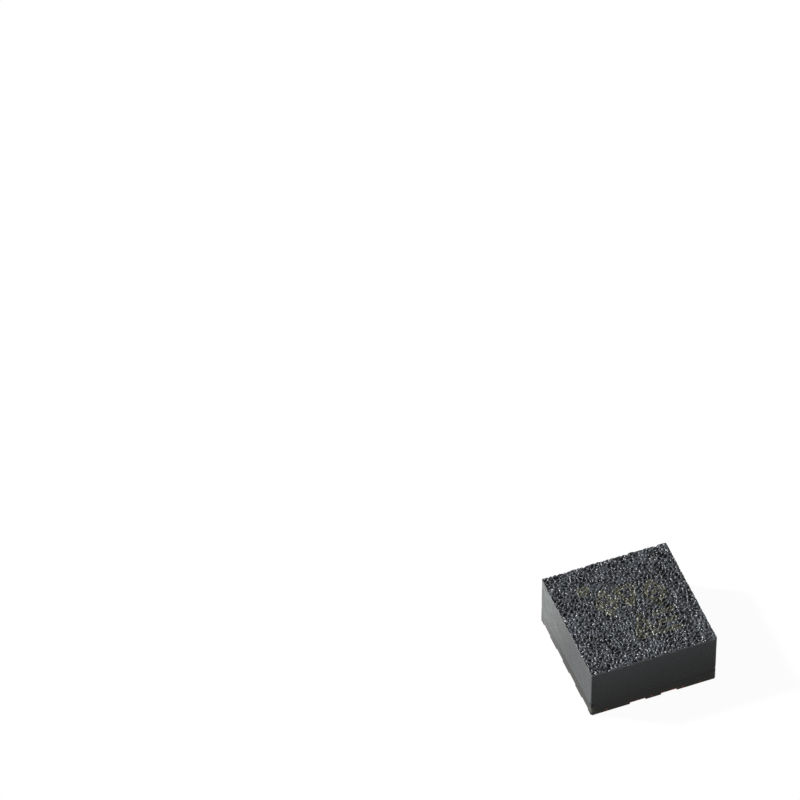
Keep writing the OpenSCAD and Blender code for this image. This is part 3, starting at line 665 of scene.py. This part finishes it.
def siliconGround():
    # cap wafer, thinned on a grinding wheel: grey with the wheel's long arcs
    finish, tree, shader, place = newFinish("siliconGround", Metallic=1.0, Roughness=0.36)
    moved = addNode(tree, "ShaderNodeMapping", {"Vector": place, "Location": (4.6 * mm, 3.1 * mm, 0)})
    # wheel marks lie about 1 micrometre apart and are drawn at 6
    arcs = addNode(tree, "ShaderNodeTexWave", {
        "Vector": moved.outputs[0], "Scale": waveRepeat / (6 * um), "Distortion": 2.5, "Detail": 3.0,
        "Detail Scale": 0.2}, wave_type="RINGS", rings_direction="Z")
    twoTone(tree, shader, arcs.outputs["Fac"], "#5a5d63", "#7c7f86", 0.5)
    return finish


def siliconPolished():
    # base wafer: polished, so dark and mirror-like, with a thin oxide that clouds it
    finish, tree, shader, place = newFinish("siliconPolished", Metallic=1.0, Roughness=0.14)
    cloud = addNode(tree, "ShaderNodeTexNoise", {"Vector": place, "Scale": 1 / (130 * um), "Detail": 4.0})
    twoTone(tree, shader, cloud.outputs["Fac"], "#4b4e5c", "#6d6a78", 0.2)
    return finish


def siliconEtched():
    # sprung mass and combs: sheer walls cut by deep etching in many short bites, which leave level ripples
    finish, tree, shader, place = newFinish("siliconEtched", Metallic=1.0, Roughness=0.24)
    # a bite is about 0.5 micrometres high and is drawn at 3
    bites = addNode(tree, "ShaderNodeTexWave", {
        "Vector": place, "Scale": waveRepeat / (3 * um), "Distortion": 0.4, "Detail": 1.0}, bands_direction="Z")
    twoTone(tree, shader, bites.outputs["Fac"], "#666974", "#8d909a", 0.6)
    return finish


def aluminiumSputtered():
    # bond pads: fine bright grains, with a scrub mark where a test probe slid
    finish, tree, shader, place = newFinish("aluminiumSputtered", Metallic=1.0, Roughness=0.28)
    grains = addNode(tree, "ShaderNodeTexVoronoi", {"Vector": place, "Scale": 1 / (3 * um)})
    drawn = addNode(tree, "ShaderNodeMapping", {"Vector": place, "Scale": (0.25, 1.0, 1.0)})
    scrub = addNode(tree, "ShaderNodeTexNoise", {"Vector": drawn.outputs[0], "Scale": 1 / (9 * um), "Detail": 1.0})
    both = addNode(tree, "ShaderNodeMath", {
        0: grains.outputs["Distance"], 1: 0.4, 2: scrub.outputs["Fac"]}, operation="MULTIPLY_ADD")
    twoTone(tree, shader, both.outputs[0], "#b9bcc1", "#e4e6e8", 0.4)
    return finish


def fritFired():
    # sealing glass, screened on as paste and fired: olive brown, glossy, full of small bubbles
    finish, tree, shader, place = newFinish("fritFired", IOR=1.6, Roughness=0.3)
    bubbles = addNode(tree, "ShaderNodeTexVoronoi", {"Vector": place, "Scale": 1 / (16 * um)})
    rims = addNode(tree, "ShaderNodeMapRange", {
        "Value": bubbles.outputs["Distance"], "From Min": 0.2, "From Max": 0.38}, interpolation_type="SMOOTHSTEP")
    twoTone(tree, shader, rims.outputs[0], "#5a4f36", "#8d8062", 1.2)
    return finish


def goldDrawn():
    # bond wire 20 micrometres thick, drawn through a die: bright, with fine streaks
    finish, tree, shader, place = newFinish("goldDrawn", Metallic=1.0, Roughness=0.2)
    streaks = addNode(tree, "ShaderNodeTexNoise", {"Vector": place, "Scale": 1 / (5 * um), "Detail": 3.0})
    twoTone(tree, shader, streaks.outputs["Fac"], "#d59d3c", "#f2cc7d", 0.5)
    return finish


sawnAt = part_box("laminate_core")[1].x
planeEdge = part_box("ground_plane")[1].x
sideFinish = epoxySawnSide(*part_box("mould_body"))
for finish in (epoxyMouldedTop(), sideFinish, sideFinish):
    mouldPiece.data.materials.append(finish)

slotFinish = {
    "moulded_epoxy": sideFinish,
    "glass_epoxy_board": glassEpoxySawn(),
    "solder_coat": solderCoatCured(),
    "plated_land": goldOnCopper(),
    "track_copper": copperPlated(),
    "die_attach_film": filmCured(),
    "circuit_silicon": siliconPassivated(),
    "cap_silicon": siliconGround(),
    "sensor_silicon": siliconPolished(),
    "sprung_silicon": siliconEtched(),
    "pad_aluminium": aluminiumSputtered(),
    "glass_frit": fritFired(),
    "wire_gold": goldDrawn(),
}
for name, node in [*nodes.items(), *bands.items()]:
    node.data.materials.clear()
    node.data.materials.append(slotFinish[slotOf[name]])
print("finishes made")


# stage, light and camera

stage = {
    "floorColour": "#fafafa",
    "floorReach": 90,       # mm
    "floorSides": 96,
    "floorDrop": 0.0002,    # mm under the chip, so that no two faces share a plane
    "fill": 0.14,           # plain light from all round
    # lamps: strength, degrees across (which sets how soft its shadow is) and where it comes from
    "lamps": {"keyLight": (5.9, 5, (-0.74, 0.42, 0.6))},
    "seen": 0.96,           # share of plain white in what the camera and gloss see of the floor
}

floorMesh = bpy.data.meshes.new("floor")
reach = stage["floorReach"] * mm
sides = stage["floorSides"]
angles = [2 * math.pi * k / sides for k in range(sides)]
floorMesh.from_pydata(
    [(reach * math.cos(a), reach * math.sin(a), -stage["floorDrop"] * mm) for a in angles], [], [list(range(sides))])
floor = bpy.data.objects.new("floor", floorMesh)
bpy.context.scene.collection.objects.link(floor)

world = bpy.data.worlds.new("studio")
bpy.context.scene.world = world
floorFinish = bpy.data.materials.new("paperWhite")
floorMesh.materials.append(floorFinish)
for holder in (floorFinish, world):
    # what the camera, gloss and clear things see is plain white; the rest gets the stage's own light
    holder.use_nodes = True
    tree = holder.node_tree
    tree.nodes.clear()
    rays = addNode(tree, "ShaderNodeLightPath")
    seen = addNode(tree, "ShaderNodeMath", {
        0: rays.outputs["Is Camera Ray"], 1: rays.outputs["Is Glossy Ray"]}, operation="MAXIMUM")
    seen = addNode(tree, "ShaderNodeMath", {
        0: seen.outputs[0], 1: rays.outputs["Is Transmission Ray"]}, operation="MAXIMUM")
    if holder == world:
        level = addNode(tree, "ShaderNodeMapRange", {
            "Value": seen.outputs[0], "To Min": stage["fill"], "To Max": 1.0})
        sky = addNode(tree, "ShaderNodeBackground", {"Color": (1, 1, 1, 1), "Strength": level.outputs[0]})
        addNode(tree, "ShaderNodeOutputWorld", {"Surface": sky.outputs[0]})
    else:
        share = addNode(tree, "ShaderNodeMath", {0: seen.outputs[0], 1: stage["seen"]}, operation="MULTIPLY")
        paper = addNode(tree, "ShaderNodeBsdfDiffuse", {"Color": hexColour(stage["floorColour"])})
        white = addNode(tree, "ShaderNodeEmission", {"Strength": 1.0})
        both = addNode(tree, "ShaderNodeMixShader", {0: share.outputs[0], 1: paper.outputs[0], 2: white.outputs[0]})
        addNode(tree, "ShaderNodeOutputMaterial", {"Surface": both.outputs[0]})

for name, (strength, across, comesFrom) in stage["lamps"].items():
    lampData = bpy.data.lights.new(name, "SUN")
    lampData.energy = strength
    lampData.angle = math.radians(across)
    lamp = bpy.data.objects.new(name, lampData)
    lamp.rotation_mode = "QUATERNION"
    lamp.rotation_quaternion = (-Vector(comesFrom)).to_track_quat("-Z", "Y")
    bpy.context.scene.collection.objects.link(lamp)

shot = {
    "lens": 360,            # mm
    "sensor": 36,           # mm across
    "clip": (0.001, 10),    # nearest and furthest that it sees, metres
    "azimuth": 21.16,       # degrees round from the front
    "elevation": 48.59,
    "distance": 119.0,      # mm to the chip
    "aside": (3.400, -3.399),  # mm the chip stands right of and below the middle of the picture
    "height": 0.464,        # mm, height of the chip's middle
}
cameraData = bpy.data.cameras.new("camera")
cameraData.lens = shot["lens"]
cameraData.sensor_width = shot["sensor"]
cameraData.clip_start, cameraData.clip_end = shot["clip"]
camera = bpy.data.objects.new("camera", cameraData)
turn, tilt = math.radians(shot["azimuth"]), math.radians(shot["elevation"])
ahead = Vector((math.sin(turn) * math.cos(tilt), math.cos(turn) * math.cos(tilt), -math.sin(tilt)))
right = Vector((math.cos(turn), -math.sin(turn), 0))
up = right.cross(ahead)
camera.rotation_mode = "QUATERNION"
camera.rotation_quaternion = Matrix((right, up, -ahead)).transposed().to_quaternion()
camera.location = Vector((0, 0, shot["height"] * mm)) - (
    right * shot["aside"][0] + up * shot["aside"][1] + ahead * shot["distance"]) * mm
bpy.context.scene.collection.objects.link(camera)
bpy.context.scene.camera = camera
bpy.context.scene.view_settings.view_transform = "Standard"
print("stage, light and camera set")
